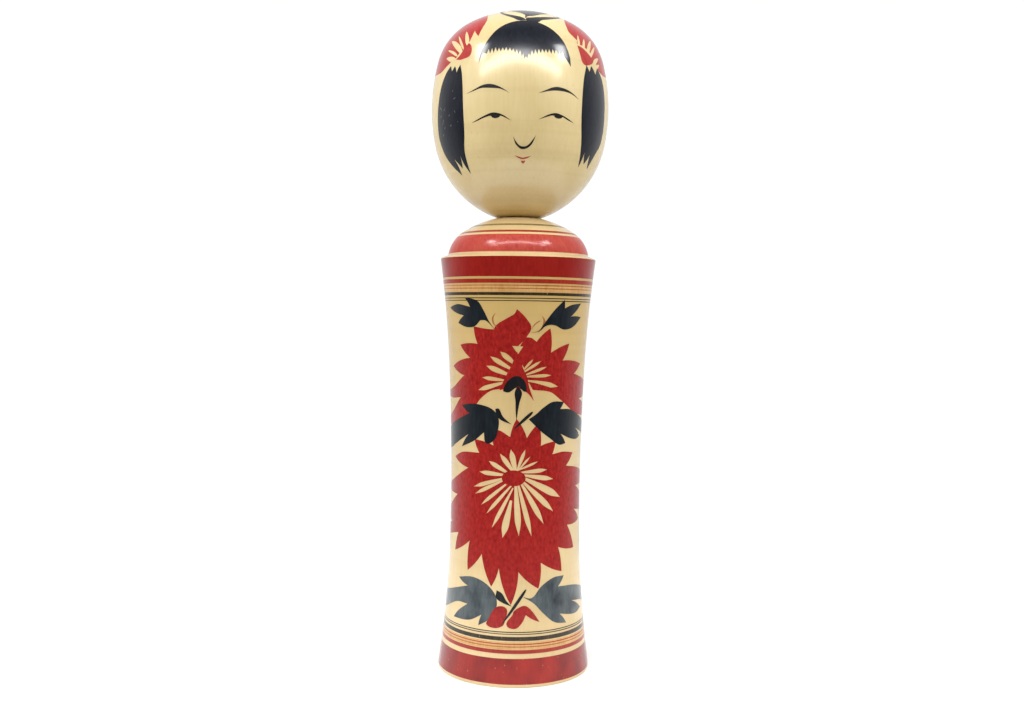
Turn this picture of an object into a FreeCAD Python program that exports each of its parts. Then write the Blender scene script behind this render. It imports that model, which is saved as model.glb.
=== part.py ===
"""A turned wooden kokeshi doll of the kind whose head is sprung into the trunk and turns there.

The doll is two pieces of lathe-turned dogwood. The trunk is waisted, and flares to a rim from which a
domed shoulder steps in. The head ends below in a neck with a knob. The knob was forced through the narrow
mouth of the trunk's socket into a wider chamber, so the head can't be pulled off, but turns for ever.

Frame: millimetres, +Z up, origin at the middle of the ring that the doll stands on, face towards -Y.
"""

import FreeCAD
import Part
import Sketcher
import os

from FreeCAD import Vector

TOUCH = 1e-6
FULL_TURN = 360
CUBIC_CM = 1000

# Distances from the axis are radii. Heights on the trunk are above the floor.
TRUNK = {
    "foot_radius": 35.0,
    "foot_round": 0.8,
    "waist_radius": 29.8,
    "waist_height": 78.0,
    "breast_radius": 31.35,
    "breast_height": 140.0,
    "rim_radius": 35.75,
    "rim_height": 188.6,
    "rim_round": 0.7,
    "ledge_radius": 32.34,
    "ledge_height": 190.0,
    "shoulder_radius": 25.62,
    "shoulder_height": 200.69,
    "seat_radius": 10.6,
    "seat_height": 207.2,
    # The socket: a narrow mouth, then a chamber that widens under it at 45 degrees.
    "mouth_radius": 9.0,
    "mouth_depth": 8.0,
    "mouth_round": 0.4,
    "chamber_radius": 10.3,
    "chamber_depth": 22.0,
    "socket_depth": 24.5,
    # The underside: a shallow dish inside the standing ring, and what the lathe's chuck left in it.
    "dish_radius": 29.5,
    "dish_depth": 0.7,
    "centre_radius": 1.5,
    "centre_depth": 3.5,
    "claw_inner": 5.5,
    "claw_outer": 14.0,
    "claw_width": 1.8,
    "claw_depth": 3.2,
    "claw_count": 4,
}

# Heights on the head are above the tip of its knob.
HEAD = {
    "top_height": 113.2,
    "crown_radius": 25.42,
    "crown_height": 106.5,
    "temple_radius": 37.81,
    "temple_height": 90.4,
    "cheek_radius": 39.03,
    "cheek_height": 53.44,
    "chin_radius": 9.87,
    "chin_height": 20.0,
    "knob_radius": 9.7,
    "knob_foot": 6.0,
    "knob_round": 0.5,
    "tip_radius": 7.4,
}

# How the two pieces fit: a running fit in the mouth, and a little air everywhere else.
FIT = {
    "neck_clearance": 0.05,
    "seat_gap": 0.3,
    "catch_gap": 0.45,
}

# Sizes that follow from the ones above.
WORKED_OUT = {
    "mouth_foot": "=seat_height - mouth_depth",
    "chamber_top": "=mouth_foot - (chamber_radius - mouth_radius)",
    "chamber_foot": "=seat_height - chamber_depth",
    "socket_foot": "=seat_height - socket_depth",
    "neck_radius": "=mouth_radius - neck_clearance",
    "neck_foot": "=chin_height - mouth_depth - seat_gap - catch_gap",
    "knob_top": "=neck_foot - (knob_radius - neck_radius)",
    "head_lift": "=seat_height + seat_gap - chin_height",
}


def make_sheet(doc):
    """The spreadsheet that every size comes from, with one named cell a row."""
    sheet = doc.addObject("Spreadsheet::Sheet", "sizes")
    cells = {**TRUNK, **HEAD, **FIT, **WORKED_OUT}
    for row, (name, content) in enumerate(cells.items(), start=1):
        sheet.set(f"A{row}", name)
        sheet.set(f"B{row}", str(content))
        sheet.setAlias(f"B{row}", name)
    doc.recompute()
    return sheet


def new_sketch(body, name, plane):
    """An empty sketch on one of the body's own origin planes."""
    sketch = body.newObject("Sketcher::SketchObject", name)
    support = next(f for f in body.Origin.OriginFeatures if f.Role == plane)
    sketch.AttachmentSupport = [(support, "")]
    sketch.MapMode = "FlatFace"
    return sketch


class Outline:
    """A closed half-section, drawn piece by piece, with each point tied to two cells of the sheet.

    A point is a distance from the turning axis and a height, each the name of a cell. The words "axis"
    and "floor" stand for the sketch's own vertical and horizontal axes.
    """

    START, END, CENTRE = 1, 2, 3
    ORIGIN, FLOOR, AXIS = -1, -1, -2

    def __init__(self, sketch, sheet, across, up):
        self.sketch = sketch
        self.sheet = sheet
        self.names = (across, up)
        self.at = self.point(across, up)
        self.first = None
        self.last = None
        self.centre = None

    def point(self, across, up):
        """Where a named point is, as the sheet stands."""
        x = 0.0 if across == "axis" else self.sheet.get(across)
        y = 0.0 if up == "floor" else self.sheet.get(up)
        return Vector(x, y, 0)

    def size(self, kind, name, *where):
        """A size whose value comes from the sheet."""
        index = self.sketch.addConstraint(Sketcher.Constraint(kind, *where, self.sheet.get(name)))
        self.sketch.setExpression(f"Constraints[{index}]", f"sizes.{name}")

    def rule(self, kind, *where):
        """A constraint that has no value, such as a tangency."""
        self.sketch.addConstraint(Sketcher.Constraint(kind, *where))

    def tie(self, end, across, up):
        """Holds one end of a piece at its named point."""
        if across == "axis":
            self.rule("PointOnObject", *end, self.AXIS)
        else:
            self.size("DistanceX", across, self.ORIGIN, self.START, *end)
        if up == "floor":
            self.rule("PointOnObject", *end, self.FLOOR)
        else:
            self.size("DistanceY", up, self.ORIGIN, self.START, *end)

    def add(self, curve, joint, across, up):
        """Puts a curve after the last one, and ties the point that it runs to."""
        piece = self.sketch.addGeometry(curve, False)
        forwards = (self.sketch.getPoint(piece, self.START) - self.at).Length < TOUCH
        ends = (self.START, self.END) if forwards else (self.END, self.START)
        near, far = [(piece, end) for end in ends]
        if self.last is None:
            self.first = near
            self.tie(near, *self.names)
        else:
            self.rule(joint, *self.last, *near)
        if (across, up) == self.names:
            self.rule("Coincident", *far, *self.first)
        else:
            self.tie(far, across, up)
        self.last = far
        self.at = self.point(across, up)
        return piece

    def line(self, across, up):
        """A straight edge to the next point."""
        self.add(Part.LineSegment(self.at, self.point(across, up)), "Coincident", across, up)

    def arc(self, joint, across, up, through, along):
        """An arc to the next point, with its centre on the line through one point along a direction."""
        start = self.at
        end = self.point(across, up)
        chord = end - start
        halfway = (start + end) * 0.5
        self.centre = through + along * (chord.dot(halfway - through) / chord.dot(along))
        towards = start - self.centre + end - self.centre
        middle = self.centre + towards.normalize() * (start - self.centre).Length
        return self.add(Part.Arc(start, middle, end), joint, across, up)

    def arc_round_axis(self, across, up):
        """An arc whose centre is on the turning axis, as at the top of a dome."""
        piece = self.arc("Coincident", across, up, Vector(0, 0, 0), Vector(0, 1, 0))
        self.rule("PointOnObject", piece, self.CENTRE, self.AXIS)

    def arc_from_waist(self, across, up):
        """An arc whose centre is level with the point where it starts."""
        start = self.at
        piece = self.arc("Coincident", across, up, start, Vector(1, 0, 0))
        self.rule("Horizontal", piece, self.CENTRE, *self.first)

    def arc_to_waist(self, across, up):
        """An arc whose centre is level with the point where it ends."""
        piece = self.arc("Coincident", across, up, self.point(across, up), Vector(1, 0, 0))
        self.rule("Horizontal", piece, self.CENTRE, *self.first)

    def smooth_arc(self, across, up):
        """An arc that leaves the arc before it with no corner."""
        self.arc("Tangent", across, up, self.centre, self.at - self.centre)


def turn(body, kind, name, sketch):
    """A Revolution or Groove: the half-section turned once round the sketch's vertical axis."""
    feature = body.newObject(f"PartDesign::{kind}", name)
    feature.Profile = sketch
    feature.ReferenceAxis = (sketch, ["V_Axis"])
    feature.Angle = FULL_TURN
    sketch.Visibility = False
    body.Document.recompute()
    return feature


def must_cut(feature, before):
    """Stops unless a cut took a little away from the shape before it, and left the rest."""
    if not before / 2 < feature.Shape.Volume < before - TOUCH:
        raise RuntimeError(f"{feature.Label} cuts nothing")


def cut_turned(body, name, sketch):
    """Wood turned away round the axis."""
    before = body.Shape.Volume
    must_cut(turn(body, "Groove", name, sketch), before)


def round_edge(body, name, sheet, radius, height, size):
    """Rounds the edge that runs round the axis at this distance and height."""
    wanted = (sheet.get(radius), 0.0 if height == "floor" else sheet.get(height))
    base = body.Tip
    for number, edge in enumerate(base.Shape.Edges, start=1):
        if edge.Degenerated or not isinstance(edge.Curve, Part.Circle):
            continue
        found = (edge.Curve.Radius, edge.Curve.Center.z)
        if abs(found[0] - wanted[0]) < TOUCH and abs(found[1] - wanted[1]) < TOUCH:
            break
    else:
        raise RuntimeError(f"no edge for {name}")
    fillet = body.newObject("PartDesign::Fillet", name)
    fillet.Base = (base, [f"Edge{number}"])
    fillet.setExpression("Radius", f"sizes.{size}")
    body.Document.recompute()
    must_cut(fillet, base.Shape.Volume)


def turn_trunk_side(body, sheet):
    """The waisted side: one arc down to the foot, and two up to the rim, all smooth."""
    sketch = new_sketch(body, "side_outline", "XZ_Plane")
    outline = Outline(sketch, sheet, "waist_radius", "waist_height")
    outline.arc_from_waist("breast_radius", "breast_height")
    outline.smooth_arc("rim_radius", "rim_height")
    outline.line("ledge_radius", "ledge_height")
    outline.line("axis", "ledge_height")
    outline.line("axis", "floor")
    outline.line("foot_radius", "floor")
    outline.arc_to_waist("waist_radius", "waist_height")
    turn(body, "Revolution", "side", sketch)


def turn_shoulder(body, sheet):
    """The dome that steps in from the rim, cut flat at the top as a seat for the head."""
    sketch = new_sketch(body, "shoulder_outline", "XZ_Plane")
    outline = Outline(sketch, sheet, "axis", "seat_height")
    outline.line("seat_radius", "seat_height")
    outline.arc_round_axis("shoulder_radius", "shoulder_height")
    outline.smooth_arc("ledge_radius", "ledge_height")
    outline.line("axis", "ledge_height")
    outline.line("axis", "seat_height")
    turn(body, "Revolution", "shoulder", sketch)


def bore_socket(body, sheet):
    """The narrow mouth and the chamber that widens below it, with a coned floor."""
    sketch = new_sketch(body, "socket_outline", "XZ_Plane")
    outline = Outline(sketch, sheet, "axis", "seat_height")
    outline.line("mouth_radius", "seat_height")
    outline.line("mouth_radius", "mouth_foot")
    outline.line("chamber_radius", "chamber_top")
    outline.line("chamber_radius", "chamber_foot")
    outline.line("axis", "socket_foot")
    outline.line("axis", "seat_height")
    cut_turned(body, "socket", sketch)


def dish_base(body, sheet):
    """A shallow coned hollow, so that the doll stands on a ring near its edge."""
    sketch = new_sketch(body, "dish_outline", "XZ_Plane")
    outline = Outline(sketch, sheet, "axis", "floor")
    outline.line("dish_radius", "floor")
    outline.line("axis", "dish_depth")
    outline.line("axis", "floor")
    cut_turned(body, "dish", sketch)


def mark_centre(body, sheet):
    """The cone that the lathe's centre pressed into the base."""
    sketch = new_sketch(body, "centre_outline", "XZ_Plane")
    outline = Outline(sketch, sheet, "axis", "floor")
    outline.line("centre_radius", "floor")
    outline.line("axis", "centre_depth")
    outline.line("axis", "floor")
    cut_turned(body, "centre_mark", sketch)


def mark_claws(body, sheet):
    """The slots that the claws of the lathe's chuck left, evenly spaced round the centre mark."""
    sketch = new_sketch(body, "claw_outline", "XY_Plane")
    half = sheet.get("claw_width") / 2
    inner = sheet.get("claw_inner")
    outer = sheet.get("claw_outer")
    corners = [(inner, -half), (outer, -half), (outer, half), (inner, half)]
    for corner, following in zip(corners, corners[1:] + corners[:1]):
        sketch.addGeometry(Part.LineSegment(Vector(*corner, 0), Vector(*following, 0)), False)
    near_side, outer_end, far_side, inner_end = range(4)
    sides = Outline(sketch, sheet, "claw_inner", "floor")
    for piece in range(4):
        sides.rule("Coincident", piece, sides.END, (piece + 1) % 4, sides.START)
    sides.rule("Horizontal", near_side)
    sides.rule("Symmetric", outer_end, sides.START, outer_end, sides.END, sides.FLOOR)
    sides.rule("Symmetric", inner_end, sides.START, inner_end, sides.END, sides.FLOOR)
    sides.size("DistanceX", "claw_inner", sides.ORIGIN, sides.START, near_side, sides.START)
    sides.size("DistanceX", "claw_outer", sides.ORIGIN, sides.START, near_side, sides.END)
    sides.size("DistanceY", "claw_width", outer_end, sides.START, outer_end, sides.END)

    before = body.Shape.Volume
    slot = body.newObject("PartDesign::Pocket", "claw_mark")
    slot.Profile = sketch
    slot.Reversed = True
    slot.setExpression("Length", "sizes.claw_depth")
    body.Document.recompute()
    must_cut(slot, before)

    after_one = slot.Shape.Volume
    ring = body.newObject("PartDesign::PolarPattern", "claw_marks")
    ring.Originals = [slot]
    ring.Axis = (sketch, ["N_Axis"])
    ring.Angle = FULL_TURN
    ring.setExpression("Occurrences", "sizes.claw_count")
    body.Tip = ring
    body.Document.recompute()
    must_cut(ring, after_one)


def make_body(doc, sheet):
    """The trunk with its shoulder, in one block of wood, bored for the head's neck."""
    body = doc.addObject("PartDesign::Body", "body")
    body.Label = "body"
    turn_trunk_side(body, sheet)
    turn_shoulder(body, sheet)
    bore_socket(body, sheet)
    dish_base(body, sheet)
    mark_centre(body, sheet)
    mark_claws(body, sheet)
    round_edge(body, "rim_rounding", sheet, "rim_radius", "rim_height", "rim_round")
    round_edge(body, "foot_rounding", sheet, "foot_radius", "floor", "foot_round")
    round_edge(body, "mouth_rounding", sheet, "mouth_radius", "seat_height", "mouth_round")
    return body


def make_head(doc, sheet):
    """The head, of four smooth arcs from crown to chin, with its neck and knob in the same wood."""
    body = doc.addObject("PartDesign::Body", "head")
    body.Label = "head"
    sketch = new_sketch(body, "head_outline", "XZ_Plane")
    outline = Outline(sketch, sheet, "axis", "top_height")
    outline.arc_round_axis("crown_radius", "crown_height")
    outline.smooth_arc("temple_radius", "temple_height")
    outline.smooth_arc("cheek_radius", "cheek_height")
    outline.smooth_arc("chin_radius", "chin_height")
    outline.line("neck_radius", "chin_height")
    outline.line("neck_radius", "neck_foot")
    outline.line("knob_radius", "knob_top")
    outline.line("knob_radius", "knob_foot")
    outline.line("tip_radius", "floor")
    outline.line("axis", "floor")
    outline.line("axis", "top_height")
    turn(body, "Revolution", "head_turning", sketch)
    round_edge(body, "knob_rounding", sheet, "knob_radius", "knob_foot", "knob_round")
    round_edge(body, "tip_rounding", sheet, "tip_radius", "floor", "knob_round")
    body.setExpression("Placement.Base.z", "sizes.head_lift")
    return body


def check_objects(doc):
    """Stops if anything in the document failed."""
    for thing in doc.Objects:
        if {"Invalid", "Error"} & set(thing.State):
            raise RuntimeError(f"{thing.Label} failed: {thing.State}")


def save_pieces(bodies):
    """Writes each piece to its own file, once all of them are sound."""
    for body in bodies:
        shape = body.Shape
        if shape.isNull() or not shape.isValid() or len(shape.Solids) != 1:
            raise RuntimeError(f"{body.Label} isn't one sound solid")
    os.makedirs("parts", exist_ok=True)
    for body in bodies:
        body.Shape.exportStep(f"parts/{body.Label}.step")


def main():
    doc = FreeCAD.newDocument("kokeshi")
    sheet = make_sheet(doc)
    bodies = [make_body(doc, sheet), make_head(doc, sheet)]
    doc.recompute()
    check_objects(doc)
    save_pieces(bodies)
    for body in bodies:
        print(f"{body.Label}: {body.Shape.Volume / CUBIC_CM:.1f} cubic centimetres of wood")


main()
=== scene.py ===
"""The looks of a turned wooden kokeshi doll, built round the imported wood.

The trunk and the head are each one piece of turned wood, made here with finer meshes of the same shape as
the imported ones. All the painting is brush strokes in dye and ink: each colour is a thin film on the wood,
drawn flat in millimetres and then rolled on. The face looks towards -Y, and +X is to the viewer's right.
"""

import bpy
import math
import numpy as np
from mathutils import Matrix, Vector
from mathutils.geometry import delaunay_2d_cdt


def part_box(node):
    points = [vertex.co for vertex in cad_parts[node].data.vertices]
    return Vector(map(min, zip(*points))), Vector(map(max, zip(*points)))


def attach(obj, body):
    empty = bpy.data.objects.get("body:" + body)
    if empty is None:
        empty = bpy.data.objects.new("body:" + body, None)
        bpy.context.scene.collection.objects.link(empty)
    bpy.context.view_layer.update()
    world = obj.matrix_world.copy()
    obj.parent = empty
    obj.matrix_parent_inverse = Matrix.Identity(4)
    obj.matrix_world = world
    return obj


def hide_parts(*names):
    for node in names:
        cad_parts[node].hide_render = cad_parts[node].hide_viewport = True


MM = 0.001
AROUND = 256            # divisions round a turned piece
STEP = 1.0              # length of a division along a curved outline, in mm
PAINT = 0.03            # how far each coat stands off the last, in mm; the first has half as much again
PAINT_GRID = 1.4        # spacing of the points inside a film, in mm
CDT_INSIDE = 1          # tells the triangulation to fill its loops and nothing else
CDT_NEAR = 1e-5         # and to treat points this close as one, in mm
DARK_ROOM = 0.10        # how bright the studio is behind the camera
WHITE_PAPER = 0.8       # and behind the doll
FLOOR_RADIUS = 280.0    # the pale floor is a disc, in mm, as its edge shows in the wax
TRUNK_ROLL = 30.0       # 1 mm across a drawing for the trunk is 1 mm round a cylinder of this radius


# ---------------------------------------------------------------- half-sections, in mm

def centre_on(start, end, through, along):
    """The centre of the arc between two points, if it lies on the line through one point along another."""
    start, end, through, along = (np.array(v, float) for v in (start, end, through, along))
    chord = end - start
    return through + along * (chord @ ((start + end) / 2 - through)) / (chord @ along)


class Section:
    """A half-section of a turned piece: (radius, height) points joined by lines and arcs."""

    def __init__(self, radius, height):
        self.points = [np.array((radius, height), float)]
        self.centre = None

    def arc(self, radius, height, centre):
        """An arc to the next point about a known centre."""
        start, end = self.points[-1] - centre, np.array((radius, height)) - centre
        turn = math.atan2(start[0] * end[1] - start[1] * end[0], start @ end)
        count = max(4, math.ceil(abs(turn) * np.hypot(*start) / STEP))
        for part in np.arange(1, count + 1) / count:
            c, s = math.cos(turn * part), math.sin(turn * part)
            self.points.append(centre + (c * start[0] - s * start[1], s * start[0] + c * start[1]))
        self.centre = centre

    def arc_round_axis(self, radius, height):
        """An arc whose centre is on the turning axis."""
        self.arc(radius, height, centre_on(self.points[-1], (radius, height), (0, 0), (0, 1)))

    def arc_level_with(self, radius, height, level):
        """An arc whose centre is at a given height."""
        self.arc(radius, height, centre_on(self.points[-1], (radius, height), (0, level), (1, 0)))

    def smooth_arc(self, radius, height):
        """An arc that leaves the last arc with no corner."""
        start = self.points[-1]
        self.arc(radius, height, centre_on(start, (radius, height), self.centre, start - self.centre))

    def array(self):
        return np.array(self.points)


def rounded(points, corner, size):
    """A section with the corner at one point rounded off over this length each way."""
    steps = np.hypot(*np.diff(points, axis=0).T)
    along = np.concatenate([[0.0], np.cumsum(steps)])
    here = along[np.argmin(np.hypot(*(points - corner).T))]
    ends = [np.array([np.interp(here + way, along, points[:, k]) for k in (0, 1)]) for way in (-size, size)]
    part = np.linspace(0, 1, 7)[:, None]
    curve = ends[0] * (1 - part) ** 2 + np.array(corner) * 2 * part * (1 - part) + ends[1] * part ** 2
    return np.vstack([points[along < here - size], curve, points[along > here + size]])


WAIST = (29.8, 78.0)
BREAST = (31.35, 140.0)
FOOT = (35.0, 0.0)
RIM = (35.75, 188.6)
LEDGE = (32.34, 190.0)
SHOULDER = (25.62, 200.69)
SEAT = (10.6, 207.2)
MOUTH = 9.0


def trunk_side():
    """The waisted side, from the floor to the rim."""
    side = Section(*FOOT)
    side.arc_level_with(*WAIST, level=WAIST[1])
    side.arc_level_with(*BREAST, level=WAIST[1])
    side.smooth_arc(*RIM)
    return side.array()


def shoulder_dome():
    """The dome, from the top down to the ledge."""
    dome = Section(*SEAT)
    dome.arc_round_axis(*SHOULDER)
    dome.smooth_arc(*LEDGE)
    return dome.array()


def trunk_section():
    """All of the trunk, from the centre mark underneath to the floor of the socket."""
    under = [(0, 3.5), (1.212, 0.671), (15.0, 0.344), (29.5, 0)]
    socket = [(MOUTH, SEAT[1]), (MOUTH, 199.2), (10.3, 197.9), (10.3, 185.2), (0, 182.7)]
    points = np.vstack([under, trunk_side(), shoulder_dome()[::-1], socket])
    for corner, size in ((FOOT, 0.8), (RIM, 0.7), ((MOUTH, SEAT[1]), 0.4)):
        points = rounded(points, corner, size)
    return points


def head_side(tip):
    """The head from crown to chin, above a knob whose tip is at a given height."""
    side = Section(0, tip + 113.2)
    side.arc_round_axis(25.42, tip + 106.5)
    side.smooth_arc(37.81, tip + 90.4)
    side.smooth_arc(39.03, tip + 53.44)
    side.smooth_arc(9.87, tip + 20.0)
    return side.array()


def head_section(tip):
    """All of the head, from the crown to the tip of its knob."""
    neck = [(8.95, 20.0), (8.95, 11.25), (9.7, 10.5), (9.7, 6.0), (7.4, 0), (0, 0)]
    points = np.vstack([head_side(tip), np.array(neck) + (0, tip)])
    for corner, size in (((9.7, tip + 6.0), 0.5), ((7.4, tip), 0.5)):
        points = rounded(points, corner, size)
    return points


# ---------------------------------------------------------------- turned wood

def add_object(name, mesh, material, body):
    piece = bpy.data.objects.new(name, mesh)
    bpy.context.scene.collection.objects.link(piece)
    mesh.materials.append(material)
    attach(piece, body)
    return piece


def ring_of(radius, height):
    """One ring of points round the axis."""
    turn = np.arange(AROUND) * 2 * math.pi / AROUND
    return [(radius * math.sin(a) * MM, -radius * math.cos(a) * MM, height * MM) for a in turn]


def turned_mesh(name, section):
    """A closed mesh of a half-section that starts and ends on the axis."""
    first, last = section[0][1], section[-1][1]
    verts = [(0, 0, first * MM), (0, 0, last * MM)]
    levels = []
    for radius, height in section[1:-1]:
        levels.append(range(len(verts), len(verts) + AROUND))
        verts += ring_of(radius, height)
    faces = []
    for a in range(AROUND):
        b = (a + 1) % AROUND
        faces.append((0, levels[0][b], levels[0][a]))
        faces.append((1, levels[-1][a], levels[-1][b]))
        for here, following in zip(levels, levels[1:]):
            faces.append((here[a], here[b], following[b], following[a]))
    # These look outwards if the section runs up the outside, and have to be turned over if it runs down.
    if first > last:
        faces = [face[::-1] for face in faces]
    mesh = bpy.data.meshes.new(name)
    mesh.from_pydata(verts, [], faces)
    mesh.validate()
    return mesh


def smooth(mesh, sharpest=28):
    """Smooth shading, broken only at real corners."""
    mesh.polygons.foreach_set("use_smooth", np.ones(len(mesh.polygons), bool))
    mesh.set_sharp_from_angle(angle=math.radians(sharpest))
    mesh.update()


def claw_slots():
    """The four slots that the lathe's chuck left underneath, as solids to cut away."""
    inner, outer, half, deep = 5.5, 14.0, 0.9, 3.2
    verts, faces = [], []
    for turn in range(4):
        spin = Matrix.Rotation(turn * math.pi / 2, 3, "Z")
        first = len(verts)
        for z in (-1.0, deep):
            for x, y in ((inner, -half), (outer, -half), (outer, half), (inner, half)):
                verts.append(spin @ Vector((x, y, z)) * MM)
        faces += [[first + k for k in face] for face in (
            (3, 2, 1, 0), (4, 5, 6, 7), (0, 1, 5, 4), (1, 2, 6, 5), (2, 3, 7, 6), (3, 0, 4, 7))]
    mesh = bpy.data.meshes.new("claw_slots")
    mesh.from_pydata(verts, [], faces)
    return mesh


def cut_away(piece, tool_mesh):
    """Cuts a solid out of a piece, for good."""
    tool = bpy.data.objects.new("tool", tool_mesh)
    bpy.context.scene.collection.objects.link(tool)
    cut = piece.modifiers.new("cut", "BOOLEAN")
    cut.object = tool
    cut.solver = "EXACT"
    seen = piece.evaluated_get(bpy.context.evaluated_depsgraph_get())
    result = bpy.data.meshes.new_from_object(seen)
    piece.modifiers.clear()
    piece.data = result
    bpy.data.objects.remove(tool)


# ---------------------------------------------------------------- brush strokes, drawn flat in mm

def stroke(start, end, width, bend=0.0, root=0.4, tip=0.8):
    """One touch of the brush. root and tip say how fast it swells and how finely it ends."""
    start, end = np.array(start, float), np.array(end, float)
    run = end - start
    side = np.array((-run[1], run[0])) / np.hypot(*run)
    count = max(8, math.ceil(np.hypot(*run) / 1.2))
    part = (1 - np.cos(np.linspace(0, math.pi, count + 1)))[:, None] / 2
    spine = start + run * part + side * bend * 4 * part * (1 - part)
    way = run + side * bend * 4 * (1 - 2 * part)
    across = np.stack([-way[:, 1], way[:, 0]], 1) / np.hypot(*way.T)[:, None]
    fullest = root / (root + tip)
    swell = part ** root * (1 - part) ** tip / (fullest ** root * (1 - fullest) ** tip)
    left = spine + across * swell * width / 2
    right = spine - across * swell * width / 2
    return np.vstack([left, right[-2:0:-1]])


def tip(x, y):
    """A sharp point of an outline."""
    return (x, y, True)


def turned_by(run, angle):
    c, s = math.cos(angle), math.sin(angle)
    return np.array((c * run[0] - s * run[1], s * run[0] + c * run[1]))


def outline(*points, bulge=0.05):
    """A closed curve through points taken clockwise: smooth but for its tips, and bulging between tips."""
    spots = [np.array(p[:2], float) for p in points]
    sharp = [len(p) > 2 for p in points]
    count = len(points)
    curve = []
    for i in range(count):
        j = (i + 1) % count
        run = spots[j] - spots[i]
        length = np.hypot(*run)
        lean = math.asin(4 * bulge) if sharp[i] and sharp[j] else 0.0
        ways = []
        for k, angle in ((i, lean), (j, -lean)):
            through = spots[(k + 1) % count] - spots[k - 1]
            ways.append(turned_by(run, angle) if sharp[k] else through * length / np.hypot(*through))
        steps = max(3, math.ceil(length / 1.0))
        for t in np.arange(steps) / steps:
            curve.append(spots[i] * (2 * t ** 3 - 3 * t ** 2 + 1) + spots[j] * (3 * t ** 2 - 2 * t ** 3)
                         + ways[0] * (t ** 3 - 2 * t ** 2 + t) + ways[1] * (t ** 3 - t ** 2))
    return np.array(curve)


def ellipse(x, y, half_width, half_height):
    turn = np.linspace(0, 2 * math.pi, 28, endpoint=False)
    return np.stack([x + half_width * np.cos(turn), y + half_height * np.sin(turn)], 1)


# ---------------------------------------------------------------- films of paint

class Skin:
    """The outside of a turned piece, and the ways that a flat drawing is laid on it."""

    def __init__(self, section):
        self.section = section if section[0][1] < section[-1][1] else section[::-1]
        steps = np.hypot(*np.diff(self.section, axis=0).T)
        self.along = np.concatenate([[0.0], np.cumsum(steps)])
        way = np.gradient(self.section, self.along, axis=0)
        way /= np.hypot(*way.T)[:, None]
        self.facing = np.stack([way[:, 1], -way[:, 0]], 1)

    def radius(self, height):
        return np.interp(height, self.section[:, 1], self.section[:, 0])

    def rolled(self, across, height):
        """A drawing rolled round the trunk."""
        return np.interp(height, self.section[:, 1], self.along), across / TRUNK_ROLL

    def facing_front(self, x, height):
        """A drawing seen straight from the front."""
        along = np.interp(height, self.section[:, 1], self.along)
        return along, np.arcsin(np.clip(x / self.radius(height), -1, 1))

    def from_crown(self, x, y):
        """A drawing laid over the crown: distances are kept along the head from its top."""
        return self.along[-1] - np.hypot(x, y), np.arctan2(x, -y)

    def place(self, along, turn, lift):
        """Points on the skin, lifted off it, and which way the skin faces there."""
        radius, height, out, up = (
            np.interp(along, self.along, row)
            for row in (*self.section.T, *self.facing.T)
        )
        facing = np.stack([out * np.sin(turn), -out * np.cos(turn), up], 1)
        points = np.stack([radius * np.sin(turn), -radius * np.cos(turn), height], 1)
        return (points + facing * lift) * MM, facing


def grid_inside(shapes):
    """Points for the inside of a film, clear of the edges of its shapes."""
    edges = np.vstack(shapes)
    low, high = edges.min(0), edges.max(0)
    points = []
    for row, y in enumerate(np.arange(low[1], high[1], PAINT_GRID * 0.87)):
        for x in np.arange(low[0] + (row % 2) * PAINT_GRID / 2, high[0], PAINT_GRID):
            if np.hypot(*(edges - (x, y)).T).min() > PAINT_GRID * 0.45:
                points.append((x, y))
    return points


def doubled_area(shape):
    """Twice the area inside a closed curve, less than nothing where it runs clockwise."""
    x, y = shape.T
    return (x * np.roll(y, -1) - y * np.roll(x, -1)).sum()


def flat_film(shapes, cuts):
    """Triangles over the union of the shapes, less the cuts: points and faces, still flat."""
    points, loops = [], []
    for shape in [*shapes, *cuts]:
        loop = list(range(len(points), len(points) + len(shape)))
        loops.append(loop if doubled_area(shape) > 0 else loop[::-1])
        points += [tuple(p) for p in shape]
    points += grid_inside([*shapes, *cuts])
    flat = [Vector(p) for p in points]
    found = delaunay_2d_cdt(flat, [], loops, CDT_INSIDE, CDT_NEAR, True)
    kept = [
        tuple(face) for face, sources in zip(found[2], found[5])
        if any(s < len(shapes) for s in sources) and not any(s >= len(shapes) for s in sources)
    ]
    used = sorted({v for face in kept for v in face})
    index = {v: k for k, v in enumerate(used)}
    corners = np.array([found[0][v][:] for v in used])
    return corners, [tuple(index[v] for v in face) for face in kept]


def add_film(name, skin, along, turn, faces, material, body, coat):
    """A thin closed film from faces over points on a skin: a top, an underside in the wood, and a rim."""
    top, facing = skin.place(along, turn, PAINT * (coat + 0.5))
    under, _ = skin.place(along, turn, -PAINT)
    first = [Vector(top[k]) for k in faces[0][:3]]
    if (first[1] - first[0]).cross(first[2] - first[0]).dot(Vector(facing[faces[0][0]])) < 0:
        faces = [face[::-1] for face in faces]
    count = len(top)
    edges = {edge for face in faces for edge in zip(face, face[1:] + face[:1])}
    rim = [(b, a, a + count, b + count) for a, b in sorted(edges) if (b, a) not in edges]
    below = [tuple(k + count for k in face[::-1]) for face in faces]
    mesh = bpy.data.meshes.new(name)
    mesh.from_pydata(np.vstack([top, under]).tolist(), [], faces + below + rim)
    smooth_faces = np.arange(len(mesh.polygons)) < len(faces)
    mesh.polygons.foreach_set("use_smooth", smooth_faces)
    normals = []
    for polygon in mesh.polygons:
        shown = polygon.index < len(faces)
        normals += [facing[k] if shown else polygon.normal for k in polygon.vertices]
    mesh.normals_split_custom_set(normals)
    return add_object(name, mesh, material, body)


def film(name, skin, lay, shapes, material, body, coat=1, cuts=()):
    """Paint laid on in shapes drawn flat, with other shapes left bare."""
    corners, faces = flat_film(shapes, list(cuts))
    along, turn = lay(corners[:, 0], corners[:, 1])
    return add_film(name, skin, along, turn, faces, material, body, coat)


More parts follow.
